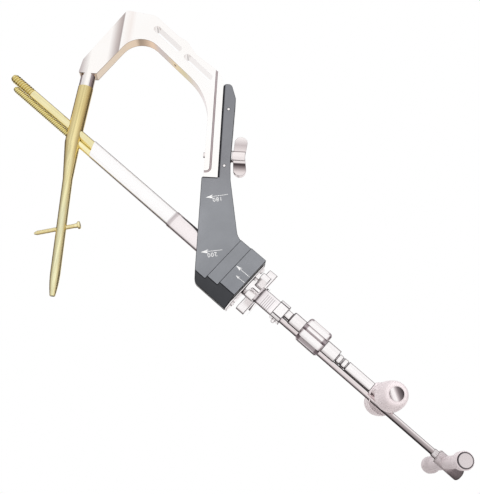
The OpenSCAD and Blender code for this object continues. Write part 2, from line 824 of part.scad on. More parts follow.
plate_screw_d = 3.4;
plate_screw_len = 9;
plate_head_d = 5.6;
plate_head_h = 1.2;
plate_screw_places = [-block_up * 0.72, block_down * 0.72];

module guide_bush() {
    start = block_end - bush_len;
    color("silver") difference() {
        oblong_rod(step_wall + bush_wall, start, block_end);
        oblong_rod(step_wall + slide_clear, start - over, block_end + over);
    }
}

// Gap between the end plate's foot and the block's ridge
plate_foot = 0.5;

module end_plate() {
    top = -block_up * 0.86;
    foot = block_down - plate_foot;
    color("silver") difference() {
        guide() translate([0, 0, block_end]) linear_extrude(plate_t) polygon(rounded([
            [top, plate_w / 2, notch_r], [foot - plate_w / 2, plate_w / 2, notch_r],
            [foot, ridge_t / 2, edge_r], [foot, -ridge_t / 2, edge_r],
            [foot - plate_w / 2, -plate_w / 2, notch_r], [top, -plate_w / 2, notch_r]]));
        oblong_rod(step_wall + slide_clear, block_end - over, plate_end + over);
        for (x = plate_screw_places) guide() translate([x, 0, block_end - over])
            cylinder(h = plate_t + 2 * over, r = plate_screw_d / 2);
    }
}

module plate_screws() {
    socket_d = plate_head_d * 0.5;
    color("silver") for (x = plate_screw_places) guide() translate([x, 0, 0]) difference() {
        union() {
            translate([0, 0, block_end - plate_screw_len])
                cylinder(h = plate_screw_len + plate_t, r = plate_screw_d / 2);
            translate([0, 0, plate_end]) cylinder(h = plate_head_h, r = plate_head_d / 2);
        }
        translate([0, 0, plate_end]) cylinder(h = plate_head_h + over, r = socket_d / 2, $fn = 6);
    }
}

// Sleeve

// The thicker part of the sleeve: two ramps lead up to its front and back faces
module sleeve_step() {
    far = 2 * step_r;
    foot_r = sleeve_r - 2 * side_inset;
    intersection() {
        oblong_rod(step_wall, step_at, star_end - over);
        guide() rotate([90, 0, 90]) linear_extrude(2 * star_d, center = true) polygon([
            [-foot_r, step_at - over], [-foot_r, step_at], [-step_r, step_at + ramp_len],
            [-far, step_at + ramp_len], [-far, star_end], [far, star_end], [far, step_at + ramp_len],
            [step_r, step_at + ramp_len], [foot_r, step_at], [foot_r, step_at - over]]);
    }
}

module guide_sleeve() {
    far = reach + rise;
    color("gainsboro") difference() {
        union() {
            oblong_rod(0, sleeve_tip - sleeve_r, star_end - over);
            sleeve_step();
            guide() translate([sleeve_mid_x, 0, star_start])
                cylinder(h = star_hub_len, r = star_thread_d / 2);
        }
        twin_bores(lag_bore_r, comp_bore_r, sleeve_tip - 2 * sleeve_r, star_end + over);
        guide() translate([0, 0, sleeve_tip]) rotate([0, -tip_slant_deg, 0])
            translate([-far / 2, -far / 2, -far]) cube([far, far, far]);
    }
}

module star_wheel() {
    hub_edge = 1.2;
    color("silver") guide() translate([sleeve_mid_x, 0, star_start]) difference() {
        union() {
            cylinder(h = star_hub_len - hub_edge, r = star_hub_d / 2);
            translate([0, 0, star_hub_len - hub_edge])
                cylinder(h = hub_edge, r1 = star_hub_d / 2, r2 = star_hub_d / 2 - hub_edge);
            for (i = [0 : 5]) translate([0, 0, star_hub_len - star_t]) rotate([0, 0, 60 * i]) {
                translate([0, -lobe_w / 2, 0]) cube([star_d / 2 - lobe_w / 2, lobe_w, star_t]);
                translate([star_d / 2 - lobe_w / 2, 0, 0]) cylinder(h = star_t, r = lobe_w / 2);
            }
        }
        translate([0, 0, -over]) cylinder(h = star_hub_len + 2 * over, r = star_thread_d / 2 + stud_clear);
    }
}

driver_lag_r = lag_shaft_d / 2 + 2 * slide_clear;
driver_comp_r = rod_d / 2 + 2 * slide_clear;

module graduated_tube() {
    color("gainsboro") difference() {
        twin_rod(driver_lag_r + sleeve_wall, driver_comp_r + sleeve_wall, star_end, scale_end);
        twin_bores(driver_lag_r, driver_comp_r, star_end - over, scale_end + over);
    }
}

module sleeve_collar() {
    color("gainsboro") difference() {
        guide() translate([sleeve_mid_x, 0, scale_end]) intersection() {
            cylinder(h = collar_len, r = collar_d / 2);
            translate([-collar_flat_w / 2, -collar_flat_w / 2, 0])
                cube([collar_flat_w, collar_flat_w, collar_len]);
        }
        twin_bores(driver_lag_r, driver_comp_r, scale_end - over, collar_end + over);
        collar_screw_hole(stud_clear);
    }
}

module collar_screw_hole(clear) {
    start = comp_x + driver_comp_r - slide_clear;
    guide() translate([start, 0, scale_end + collar_len / 2]) rotate([0, 90, 0])
        cylinder(h = collar_d, r = set_screw_d / 2 + clear);
}

module collar_screw() {
    start = comp_x + driver_comp_r + 2 * slide_clear;
    face = sleeve_mid_x + collar_flat_w / 2;
    color("dimgray") guide() translate([start, 0, scale_end + collar_len / 2]) rotate([0, 90, 0])
        difference() {
            cylinder(h = face + set_screw_out - start, r = set_screw_d / 2);
            translate([0, 0, face - start])
                cylinder(h = set_screw_out + over, r = set_screw_d * 0.27, $fn = 6);
        }
}

// Lag driver

// Length of the shaft's tang in the first cross bar
hub_tang = 14;

module lag_shaft() {
    shaft_r = lag_shaft_d / 2;
    bevel = 1;
    color("lightgray") difference() {
        lag_line() {
            translate([0, 0, screw_back - drive_depth]) cylinder(h = drive_depth, r = neck_d / 2);
            translate([0, 0, screw_back]) cylinder(h = rings_start - screw_back, r = shaft_r);
            translate([0, 0, rings_start]) cylinder(h = rings_len, r = neck_d / 2);
            translate([0, 0, bare_start]) cylinder(h = bare_len, r = bare_d / 2);
            translate([0, 0, lag_hub_start]) cylinder(h = hub_tang, r = neck_d / 2);
            translate([0, 0, step1_start]) cylinder(h = bevel, r1 = step1_d / 2 - bevel, r2 = step1_d / 2);
            translate([0, 0, step1_start + bevel]) cylinder(h = step1_len - bevel, r = step1_d / 2);
            translate([0, 0, step2_start]) cylinder(h = step2_len, r = step2_d / 2);
        }
        rod_channel(screw_back, lag_hub_start);
    }
}

module fluted_knob() {
    end_r = 3.2;
    flute_r = knob_d * 0.13;
    steps = 5;
    rim = [for (i = [0 : steps]) [
        knob_d / 2 - end_r + end_r * cos(90 * i / steps),
        knob_len - end_r + end_r * sin(90 * i / steps)]];
    bottom_rim = [for (i = [0 : steps]) [rim[steps - i][0], knob_len - rim[steps - i][1]]];
    color("gainsboro") difference() {
        lag_line() translate([0, 0, knob_start]) difference() {
            rotate_extrude() polygon(concat([[lag_shaft_d / 2, 0]], bottom_rim, rim,
                [[lag_shaft_d / 2, knob_len]]));
            for (i = [0 : 5]) rotate([0, 0, 30 + 60 * i])
                translate([knob_d / 2 + flute_r * 0.35, 0, -over])
                    cylinder(h = knob_len + 2 * over, r = flute_r);
        }
        rod_channel(knob_start, step2_start);
    }
}

module grooved_rings() {
    ring_len = rings_len / 2;
    groove = 1;
    deep = rings_d / 2 - 0.8 * groove;
    color("silver") difference() {
        lag_line() translate([0, 0, rings_start]) rotate_extrude() polygon(concat(
            [[neck_d / 2, 0], [deep, 0], [deep, groove]],
            [for (i = [0, 1]) each [
                [rings_d / 2, groove + i * ring_len], [rings_d / 2, (i + 1) * ring_len - groove],
                [deep, (i + 1) * ring_len - groove], [deep, (i + 1) * ring_len]]],
            [[neck_d / 2, rings_len]]));
        rod_channel(rings_start, bare_start);
    }
}

// How far the first hub's front edge stands out from the shaft
hub_lip = 1.2;
// Radius of the notch's round far wall, which leaves room for the compression driver
notch_wall_r = 7.5;

module lag_hub() {
    front_r = bare_d / 2 + hub_lip;
    r = lag_hub_d / 2;
    color("gainsboro") difference() {
        lag_line() difference() {
            translate([0, 0, lag_hub_start]) rotate_extrude() polygon([
                [neck_d / 2, 0], [front_r, 0], [front_r + edge_r, edge_r], [r, lag_cone_len],
                [r, lag_bar_d / 2], [neck_d / 2, lag_bar_d / 2]]);
            translate([0, 0, lag_bar_at]) rotate([90, 0, lag_bar_deg])
                cylinder(h = 2 * lag_hub_d, r = lag_bar_d / 2 + slide_clear, center = true);
        }
        rod_channel(lag_hub_start, lag_bar_at);
    }
}

// The notch in the first cross bar, open below, through which the compression driver passes
module grip_notch() {
    flat_x = comp_x - rod_bore_r;
    len = 2 * lag_bar_d;
    guide() translate([0, 0, lag_bar_at - lag_bar_d]) {
        translate([flat_x + notch_wall_r, 0, 0]) cylinder(h = len, r = notch_wall_r);
        translate([flat_x, -notch_len, 0]) cube([lag_bar_d, notch_len, len]);
    }
}

module lag_grip() {
    color("gainsboro") difference() {
        lag_line() translate([0, 0, lag_bar_at]) rotate([0, 0, lag_bar_deg])
            barrel_bar(lag_bar_len, lag_bar_d, lag_end_d, lag_cap_d, cap_depth);
        grip_notch();
        lag_line() translate([0, 0, lag_hub_start - over]) cylinder(h = hub_tang + over, r = neck_d / 2);
    }
}

module lag_grip_caps() {
    color("silver") lag_line() translate([0, 0, lag_bar_at]) rotate([0, 0, lag_bar_deg])
        bar_caps(lag_bar_len, lag_cap_d, cap_depth, cap_proud);
}

// Compression driver

module compression_shaft() {
    tip_r = rod_d * 0.35;
    color("darkgray") comp_line() {
        translate([0, 0, screw_back - drive_depth]) cylinder(h = drive_depth, r = tip_r);
        translate([0, 0, screw_back]) cylinder(h = comp_hub_start - screw_back, r = rod_d / 2);
        translate([0, 0, comp_hub_start]) cylinder(h = comp_hub_len * 0.12, r = tip_r);
    }
}

module compression_ferrule() {
    start = comp_hub_start - ferrule_len;
    slope = 1.2;
    color("whitesmoke") comp_line() translate([0, 0, start]) rotate_extrude() polygon([
        [rod_d / 2, 0], [ferrule_d / 2 - slope / 2, 0], [ferrule_d / 2, slope],
        [ferrule_d / 2, ferrule_len], [rod_d / 2, ferrule_len]]);
}

module compression_hub() {
    r = comp_hub_d / 2;
    round_r = r * 0.45;
    steps = 6;
    dome = [for (i = [0 : steps]) [
        r - round_r + round_r * cos(90 * i / steps),
        comp_hub_len - round_r + round_r * sin(90 * i / steps)]];
    color("gray") comp_line() difference() {
        translate([0, 0, comp_hub_start]) rotate_extrude() polygon(concat(
            [[0, 0], [r - edge_r, 0], [r, edge_r]], dome, [[0, comp_hub_len]]));
        translate([0, 0, comp_hub_start - over]) cylinder(h = comp_hub_len * 0.12 + over, r = rod_d * 0.35);
        translate([0, 0, bar2_at]) rotate([90, 0, 0])
            cylinder(h = 2 * comp_hub_d, r = comp_waist_d / 2, center = true);
    }
}

module compression_grip() {
    color("silver") comp_line() translate([0, 0, bar2_at])
        cross_bar(comp_bar_len, comp_bulb_d, comp_waist_d, comp_cap_d, cap_depth);
}

module compression_grip_caps() {
    color("silver") comp_line() translate([0, 0, bar2_at])
        bar_caps(comp_bar_len, comp_cap_d, cap_depth, cap_proud);
}

nail();
nail_bolt();
distal_screw();
lag_screw();
compression_screw();
handle();
aiming_arm();
arm_dowels();
arm_pins();
wing_screw();
wing_washer();
guide_bush();
end_plate();
plate_screws();
guide_sleeve();
star_wheel();
graduated_tube();
sleeve_collar();
collar_screw();
lag_shaft();
fluted_knob();
grooved_rings();
lag_hub();
lag_grip();
lag_grip_caps();
compression_shaft();
compression_ferrule();
compression_hub();
compression_grip();
compression_grip_caps();
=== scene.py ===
"""Looks of the nail aiming frame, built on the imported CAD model. Lengths are in millimetres, times MM."""

import math

import bmesh
import bpy
from mathutils import Matrix, Vector


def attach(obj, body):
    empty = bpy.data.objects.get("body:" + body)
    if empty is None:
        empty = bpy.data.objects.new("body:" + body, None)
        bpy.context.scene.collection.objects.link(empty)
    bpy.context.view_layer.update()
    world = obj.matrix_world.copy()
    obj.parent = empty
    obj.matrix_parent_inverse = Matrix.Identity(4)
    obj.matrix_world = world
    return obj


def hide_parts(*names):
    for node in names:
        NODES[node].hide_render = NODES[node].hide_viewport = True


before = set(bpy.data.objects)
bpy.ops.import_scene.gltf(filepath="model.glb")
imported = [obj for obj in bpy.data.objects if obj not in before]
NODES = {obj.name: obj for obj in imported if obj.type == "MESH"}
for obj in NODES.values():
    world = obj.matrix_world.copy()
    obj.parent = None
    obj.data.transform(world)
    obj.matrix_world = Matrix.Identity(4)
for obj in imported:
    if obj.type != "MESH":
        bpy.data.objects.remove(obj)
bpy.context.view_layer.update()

MM = 0.001

# Shared lines of the object, as in the CAD source

NECK = math.radians(128.85)  # from +Z to the guide line
BEND = math.radians(5.6)  # of the nail's upper part
LOCK_TILT = math.radians(75)  # from +Z to the distal screw
CROSS_Z = 184.765  # where the guide line crosses the nail's axis
LOCK_Z = 73.2  # where the distal screw crosses it
LAG_X, COMP_X = -2.7, 5.8  # the two screws, on either side of the guide line

GUIDE = Matrix.Translation((0, 0, CROSS_Z * MM)) @ Matrix.Rotation(NECK, 4, "Y")
LAG_LINE = GUIDE @ Matrix.Translation((LAG_X * MM, 0, 0))
COMP_LINE = GUIDE @ Matrix.Translation((COMP_X * MM, 0, 0))
LOCK_LINE = Matrix.Translation((0, 0, LOCK_Z * MM)) @ Matrix.Rotation(LOCK_TILT, 4, "Y")

# The crossing's place in coordinates turned to the guide line
GUIDE_X = CROSS_Z * math.sin(-NECK)
GUIDE_Z = CROSS_Z * math.cos(NECK)


# Node graphs

AXES = {
    "plain": (0, 0, 0),
    "guide": (0, -NECK, 0),
    "upper": (0, -BEND, 0),
    "across": (math.radians(90), 0, 0),
    "lock": (0, -LOCK_TILT, 0),
}
PLAIN = (1, 1, 1, 1)  # white, which leaves what it multiplies as it is


def rgb(r, g, b):
    """A colour read as 0 to 255 screen values, as Blender's linear values."""
    def linear(c):
        c = c / 255
        return c / 12.92 if c <= 0.04045 else ((c + 0.055) / 1.055) ** 2.4
    return (linear(r), linear(g), linear(b), 1.0)


class Graph:
    """Short calls for building a node tree. A value is a socket to link, or what the input is set to."""

    def __init__(self, tree):
        self.tree = tree
        self.tree.nodes.clear()

    def node(self, kind, **facts):
        n = self.tree.nodes.new(kind)
        for key, value in facts.items():
            setattr(n, key, value)
        return n

    def link(self, a, b):
        self.tree.links.new(a, b)

    def feed(self, sockets, values):
        for socket, value in zip(sockets, values):
            if hasattr(value, "is_output"):
                self.link(value, socket)
            else:
                socket.default_value = value

    def calc(self, operation, *values):
        n = self.node("ShaderNodeMath", operation=operation)
        self.feed(n.inputs, values)
        return n.outputs[0]

    def vector(self, operation, *values):
        n = self.node("ShaderNodeVectorMath", operation=operation)
        self.feed(n.inputs, values)
        return n.outputs

    def part(self, vector, letter):
        n = self.node("ShaderNodeSeparateXYZ")
        self.link(vector, n.inputs[0])
        return n.outputs[letter]

    def coords(self, axis, scale):
        """Object coordinates turned so that the axis lies along z, then scaled."""
        where = self.node("ShaderNodeTexCoord")
        turn = self.node("ShaderNodeMapping")
        turn.inputs["Rotation"].default_value = AXES[axis]
        self.link(where.outputs["Object"], turn.inputs["Vector"])
        size = self.node("ShaderNodeMapping")
        size.inputs["Scale"].default_value = scale
        self.link(turn.outputs[0], size.inputs["Vector"])
        return size.outputs[0]

    def along(self, axis, weights, shift=0.0):
        """A place in millimetres along a direction, in coordinates turned to the axis."""
        dot = self.vector("DOT_PRODUCT", self.coords(axis, (1000, 1000, 1000)), weights)["Value"]
        return self.calc("ADD", dot, shift)

    def noise(self, vector, scale, detail=3.0, rough=0.5):
        n = self.node("ShaderNodeTexNoise")
        n.inputs["Scale"].default_value = scale
        n.inputs["Detail"].default_value = detail
        n.inputs["Roughness"].default_value = rough
        self.link(vector, n.inputs["Vector"])
        return n.outputs["Fac"]

    def spread(self, value, low, high, from_low=0.35, from_high=0.65, curve="LINEAR"):
        """A value moved from one range to another, and held at its ends."""
        m = self.node("ShaderNodeMapRange", interpolation_type=curve)
        m.inputs["From Min"].default_value = from_low
        m.inputs["From Max"].default_value = from_high
        m.inputs["To Min"].default_value = low
        m.inputs["To Max"].default_value = high
        self.link(value, m.inputs["Value"])
        return m.outputs[0]

    def rises(self, value, first, last):
        return self.spread(value, 0.0, 1.0, first, last)

    def falls(self, value, first, last):
        return self.spread(value, 1.0, 0.0, first, last)

    def mix(self, factor, a, b, kind="MIX"):
        m = self.node("ShaderNodeMix", data_type="RGBA", blend_type=kind)
        self.feed((m.inputs[0], m.inputs[6], m.inputs[7]), (factor, a, b))
        return m.outputs[2]

    def times(self, a, b):
        """The product of two colours."""
        return self.mix(1.0, a, b, "MULTIPLY")

    def both(self, a, b):
        """The product of two factors."""
        return self.calc("MULTIPLY", a, b)

    def ramp(self, value, stops, first, last):
        """Colours along a value, from (place, colour) stops in order, between first and last."""
        r = self.node("ShaderNodeValToRGB")
        elements = r.color_ramp.elements
        places = [(at - first) / (last - first) for at, _ in stops]
        elements[0].position, elements[-1].position = places[0], places[-1]
        elements[0].color = (*stops[0][1][:3], 1)
        elements[-1].color = (*stops[-1][1][:3], 1)
        for place, (_, colour) in list(zip(places, stops))[1:-1]:
            elements.new(place).color = (*colour[:3], 1)
        self.link(self.rises(value, first, last), r.inputs[0])
        return r.outputs[0]


def surface(name):
    """A new material's graph, with its shader and its output."""
    material = bpy.data.materials.new(name)
    material.use_nodes = True
    g = Graph(material.node_tree)
    g.material = material
    g.out = g.node("ShaderNodeOutputMaterial")
    g.shader = g.node("ShaderNodeBsdfPrincipled")
    g.link(g.shader.outputs[0], g.out.inputs[0])
    return g


# Where a point lies, for the shades

def facing(g, low, high):
    """0 on surfaces that face sideways and 1 on those that face the front or the back."""
    normal = g.node("ShaderNodeTexCoord").outputs["Normal"]
    return g.rises(g.calc("ABSOLUTE", g.part(normal, "Y")), low, high)


def guide_place(g, weights):
    """Millimetres along the guide line's own axes: x towards the compression side, z away from the nail."""
    return g.along("guide", weights, -weights[0] * GUIDE_X - weights[2] * GUIDE_Z)


def guide_station(g):
    return guide_place(g, (0, 0, 1))


def guide_across(g):
    return guide_place(g, (1, 0, 0))


def from_axis(g, offset):
    """The vector from a line beside the guide line, at right angles to it."""
    return g.vector("SUBTRACT", g.coords("guide", (1000, 1000, 0)), (offset + GUIDE_X, 0, 0))["Vector"]


# Shades, which multiply a metal's colour by the place on the part: mostly painted light and shade, besides
# the tube's engraved rings

# Stations on the guide line, from where it crosses the nail's axis
SLEEVE_STEP = 149.0
TUBE_START, TUBE_END = 273.5, 294.0
RINGS_START, RINGS_END, RING_PITCH = 278.0, 289.5, 2.2
KNOB_START, KNOB_END = 327.6, 355.8
LAG_HUB_START = 418.0
COMP_HUB_START, COMP_HUB_END = 504.0, 536.0


def nail_shade(g):
    """Painted shade, a deeper gold towards the thick upper part."""
    return g.ramp(g.along("plain", (0, 0, 1)), [
        (90, rgb(255, 255, 252)), (150, rgb(250, 243, 228)),
        (195, rgb(248, 237, 214)), (250, rgb(242, 230, 206))], 0, 300)


def root_shade(offset, root_r, crest_r, outer, inner):
    """Painted shade, darker in a thread's grooves than on its crests, with an inner colour on the lag screw's
    side; on the compression screw that colour is the painted shade between the two screws.
    """
    def build(g):
        stands = g.rises(g.vector("LENGTH", from_axis(g, offset))["Value"], root_r, crest_r)
        # painted shade between the screws, by the place across the guide line
        beyond = g.rises(guide_across(g), 3.0, 4.4)
        return g.mix(stands, g.mix(beyond, inner, outer), PLAIN)
    return build


# Splits the handle's inner face from its slots and outer face
INNER_WAY, INNER_AT = (0.655, 0, 0.756), 284.0
PROBE_AT = (101.8, 0, CROSS_Z + 88.8)
GROOVE_Y = 6.95  # front faces nearer the middle than this are the groove's floor


def nose_painted_reflection(g):
    """A painted reflection on the nose's slanted face, which drifts to grey by the crease with the crown."""
    return g.ramp(g.along("plain", (1, 0, -0.057), 17.95), [
        (-6, rgb(168, 160, 162)), (3, rgb(196, 188, 189)), (12, rgb(255, 254, 253)),
        (30, rgb(254, 252, 251)), (37, rgb(206, 197, 195)), (41, rgb(176, 166, 165)),
        (42, PLAIN), (50, rgb(248, 243, 241)), (55, PLAIN)], -10, 60)


def inner_painted_reflection(g):
    """A painted reflection of the warm room, mirrored along the handle's inner face."""
    return g.ramp(g.along("plain", (1, 0, 0)), [
        (10, rgb(236, 222, 204)), (50, rgb(236, 218, 194)), (78, rgb(240, 214, 188)),
        (86, rgb(212, 202, 200)), (94, rgb(214, 202, 194)), (104, rgb(236, 216, 174)),
        (116, rgb(220, 210, 168)), (126, rgb(226, 217, 206)), (138, rgb(230, 221, 222)),
        (152, rgb(238, 230, 232))], 0, 170)


def handle_shade(g):
    """Painted light and shade on the front faces, side faces with a dark painted shade line by the front
    edge, and painted shade in the probe hole and the groove.
    """
    depth = g.calc("ABSOLUTE", g.along("plain", (0, 1, 0)))
    # painted shade: a dark line on the side faces by the front edge
    line = g.ramp(depth, [
        (5.9, PLAIN), (6.6, rgb(205, 199, 198)), (7.0, rgb(150, 144, 144))], 0, 10)
    inner = g.falls(g.along("plain", INNER_WAY), INNER_AT - 0.5, INNER_AT + 0.5)
    sides = g.times(g.mix(inner, PLAIN, inner_painted_reflection(g)), g.mix(inner, PLAIN, line))
    # painted shade: near black inside the probe hole
    probe = g.vector("DISTANCE", g.coords("plain", (1000, 0, 1000)), PROBE_AT)["Value"]
    inside = g.both(g.falls(probe, 2.3, 2.9), g.falls(depth, 2.0, 2.4))
    sides = g.mix(inside, sides, rgb(30, 27, 28))
    front = g.mix(facing(g, 0.86, 0.97), PLAIN, nose_painted_reflection(g))
    # painted shade on the groove's floor
    groove = g.both(g.falls(depth, GROOVE_Y - 0.2, GROOVE_Y), facing(g, 0.2, 0.5))
    return g.mix(groove, g.mix(facing(g, 0.3, 0.7), sides, front), rgb(190, 178, 181))


TONGUE_X, SHOULDER_Z = 160.5, 137.07


def arm_shade(g):
    """Drifts a little along the arm. The tongue's left edge and the shoulder's upper edge are near black, a
    painted shade.
    """
    height = g.along("plain", (0, 0, 1))
    body = g.ramp(height, [
        (-10, rgb(238, 239, 241)), (40, rgb(250, 250, 250)), (100, rgb(248, 248, 248)),
        (150, rgb(228, 226, 226)), (240, rgb(222, 221, 222))], -40, 260)
    across = g.along("plain", (1, 0, 0), -TONGUE_X)
    # painted shade: near black along the tongue's left edge and the shoulder's upper edge
    black = rgb(60, 59, 62)
    tongue = g.ramp(across, [(0.9, black), (2.1, rgb(150, 149, 151)), (2.6, PLAIN)], -5, 5)
    shoulder = g.ramp(height, [(SHOULDER_Z - 1.7, PLAIN), (SHOULDER_Z - 1.1, black)], 100, 160)
    upper = g.rises(height, SHOULDER_Z - 0.4, SHOULDER_Z)
    right = g.rises(across, -0.3, 0.3)
    return g.times(body, g.mix(upper, g.mix(right, shoulder, PLAIN), tongue))


def wing_shade(g):
    """Painted shade: two bright wings with the dark root between them."""
    return g.ramp(g.along("plain", (0, 0, 1)), [
        (139, PLAIN), (148, rgb(236, 230, 230)), (153, rgb(150, 142, 143)),
        (156.5, rgb(70, 62, 64)), (158, rgb(92, 84, 86)), (159, rgb(240, 236, 236)),
        (170, rgb(255, 252, 252)), (171.5, rgb(120, 112, 114)), (173, rgb(236, 230, 230)),
        (180, rgb(205, 198, 199)), (188, rgb(250, 248, 248))], 130, 200)


def cap_painted_reflection(g):
    """A polished cap with a painted reflection: a light band between darker sides."""
    return g.ramp(g.along("plain", (0.94, 0, 0.34), -287.4), [
        (-7.5, rgb(120, 112, 114)), (-6.0, rgb(190, 182, 184)), (-4.0, rgb(250, 248, 248)),
        (-1.6, rgb(252, 250, 250)), (0.2, rgb(190, 182, 184)), (2.2, rgb(128, 120, 122)),
        (5.6, rgb(74, 68, 70)), (7.0, rgb(112, 104, 106))], -8, 8)


def rod_shade(g):
    """Light beside the lag driver, with the driver's shadow painted on it, and darker beyond the first
    T-handle; the bands across the rod are a painted reflection, light above and dark at the lower edge.
    """
    station, across = guide_station(g), guide_across(g)
    # painted reflection: light bands across the rod beside the lag driver
    beside = g.ramp(across, [
        (3.4, rgb(250, 246, 246)), (4.6, PLAIN), (5.8, rgb(226, 219, 220)),
        (6.8, rgb(246, 241, 241)), (8.0, rgb(200, 193, 195)), (9.0, rgb(130, 122, 124))], 0, 12)
    # painted reflection: a light stripe and a near-black lower edge beyond the first T-handle
    beyond = g.ramp(across, [
        (2.6, rgb(104, 98, 99)), (3.3, rgb(196, 190, 191)), (3.9, rgb(250, 248, 248)),
        (4.7, rgb(248, 245, 245)), (5.5, rgb(186, 179, 180)), (7.4, rgb(160, 153, 154)),
        (8.2, rgb(96, 90, 92)), (9.2, rgb(50, 46, 47))], 0, 12)
    body = g.mix(g.rises(station, LAG_HUB_START + 7, LAG_HUB_START + 22), beside, beyond)
    # painted shadow of the lag driver along the rod's upper side
    painted_driver_shadow = g.ramp(across, [(3.1, rgb(44, 40, 41)), (3.9, rgb(90, 84, 85)), (4.5, PLAIN)], 0, 10)
    return g.mix(g.falls(station, LAG_HUB_START, LAG_HUB_START + 6), body, g.times(body, painted_driver_shadow))


def knob_shade(g):
    """Painted shade: bright lands and flute floors, with grey flute walls, grey ends of the flutes and a
    duller rim.
    """
    station = guide_station(g)
    away = from_axis(g, LAG_X)
    around = g.calc("ARCTAN2", g.part(away, "Y"), g.part(away, "X"))
    flutes = 6
    turn = g.calc("WRAP", g.spread(around, -flutes / 2, flutes / 2, -math.pi, math.pi), 1.0, 0.0)
    # painted shade: grey flute walls, turned by the angle around the lag screw
    walls = g.ramp(turn, [
        (0.25, PLAIN), (0.275, rgb(176, 168, 171)), (0.3, rgb(252, 250, 250)),
        (0.5, PLAIN), (0.56, rgb(186, 178, 180)), (0.69, rgb(164, 156, 159)),
        (0.715, rgb(206, 199, 201)), (0.74, PLAIN)], 0, 1)
    flute = g.both(g.rises(turn, 0.25, 0.28), g.falls(turn, 0.71, 0.74))
    middle = g.both(g.rises(station, KNOB_START + 3.4, KNOB_START + 4.8),
                    g.falls(station, KNOB_END - 5.2, KNOB_END - 3.8))
    # painted shade: duller rims and grey ends of the flutes
    edge, dull = rgb(186, 178, 181), rgb(226, 220, 222)
    painted_rim_shade = g.ramp(station, [
        (KNOB_START + 0.4, edge), (KNOB_START + 2.0, dull), (KNOB_START + 3.4, PLAIN),
        (KNOB_END - 3.4, PLAIN), (KNOB_END - 1.8, dull), (KNOB_END - 0.4, edge)], 320, 360)
    return g.times(walls, g.mix(g.both(flute, g.falls(middle, 0.0, 1.0)), painted_rim_shade, rgb(170, 161, 165)))


def tube_shade(g):
    """Fine engraved rings across the tube's front, and the shadow by the star wheel."""
    station = guide_station(g)
    rings = g.falls(g.calc("PINGPONG", station, RING_PITCH / 2), 0.12, 0.42)
    engraved = g.both(g.rises(station, RINGS_START - 1, RINGS_START),
                      g.falls(station, RINGS_END, RINGS_END + 1))
    line = g.both(g.both(rings, engraved), g.rises(guide_across(g), -5.0, -4.0))
    body = g.ramp(station, [
        (TUBE_START, rgb(150, 143, 145)), (TUBE_START + 2, rgb(240, 236, 237)),
        (TUBE_START + 5.5, rgb(252, 250, 250)), (TUBE_END, rgb(255, 253, 253))], 270, 300)
    return g.mix(line, body, rgb(150, 143, 146))


def sleeve_shade(g):
    """Painted reflections: a grey ring where the sleeve steps up, and the arm's reflection, dark on the upper
    edge towards the arm.
    """
    # painted reflection: a grey ring at the sleeve's step
    ring = g.ramp(guide_station(g), [
        (SLEEVE_STEP - 1.5, PLAIN), (SLEEVE_STEP + 0.5, rgb(196, 188, 190)),
        (SLEEVE_STEP + 3.5, rgb(214, 207, 208)), (SLEEVE_STEP + 4.5, rgb(246, 240, 241))], 20, 240)
    tilted = g.calc("ADD", guide_place(g, (1, 0, -0.16)), 25.0)
    # painted reflection of the arm, dark along the sleeve's upper edge
    edge = g.ramp(tilted, [
        (-19.5, rgb(96, 90, 92)), (-16.5, rgb(150, 143, 145)), (-14.5, PLAIN)], -30, 10)
    return g.times(ring, edge)


def hub_shade(g):
    """Painted shade, dark towards the second T-handle's hub end."""
    return g.ramp(guide_station(g), [
        (COMP_HUB_START, PLAIN), (COMP_HUB_START + 14, rgb(246, 240, 242)),
        (COMP_HUB_START + 20, rgb(150, 142, 144)), (COMP_HUB_END, rgb(104, 98, 99))], 490, 550)


# Metals

def metal(name, colour, tint, rough, axis="plain", lathe=0.0, brush=0.0, grain=0.0, streak=0.0,
          metallic=1.0, cloud=18.0, fine=900.0, side=None, shade=None):
    """A metal whose colour drifts to tint, with lathe rings, brushed lines or blasted grain so many
    millimetres deep. Streaks darken it along its axis, side is the colour of faces that look sideways, a
    painted shade, and shade builds the painted light and shade that its colour is multiplied by."""
    g = surface(name)
    even, rings, lines = (1, 1, 1), (0.02, 0.02, 1), (1, 1, 0.02)
    base = g.mix(g.spread(g.noise(g.coords(axis, even), cloud, 2.0), 0.0, 1.0), colour, tint)
    heights = []
    for depth, scale, detail in ((lathe, rings, 2.0), (brush, lines, 2.0), (grain, even, 3.0)):
        if depth:
            heights.append((depth, g.noise(g.coords(axis, scale), fine, detail, 0.6)))
    wear = g.noise(g.coords(axis, even), cloud * 6, 4.0, 0.65)
    shine = g.spread(wear, rough * 0.85, rough * 1.15)
    if heights:
        shine = g.calc("ADD", shine, g.spread(heights[0][1], -0.04, 0.04))
    g.link(shine, g.shader.inputs["Roughness"])
    normal = None
    for depth, height in heights:
        bump = g.node("ShaderNodeBump")
        bump.inputs["Strength"].default_value = 1.0
        bump.inputs["Distance"].default_value = depth * MM
        g.link(height, bump.inputs["Height"])
        if normal:
            g.link(normal, bump.inputs["Normal"])
        normal = bump.outputs[0]
    if normal:
        g.link(normal, g.shader.inputs["Normal"])
    if streak:
        drawn = g.spread(g.noise(g.coords(axis, (1, 1, 0.012)), 700.0, 3.0, 0.6), 1 - streak, 1.0)
        tone = g.node("ShaderNodeCombineColor")
        g.feed(tone.inputs, (drawn, drawn, drawn))
        base = g.times(base, tone.outputs[0])
    # painted shade on the faces that look sideways
    if side:
        base = g.mix(facing(g, 0.72, 0.97), side, base)
    # painted light and shade by the place on the part
    if shade:
        base = g.times(base, shade(g))
    g.link(base, g.shader.inputs["Base Color"])
    g.shader.inputs["Metallic"].default_value = metallic
    return g.material


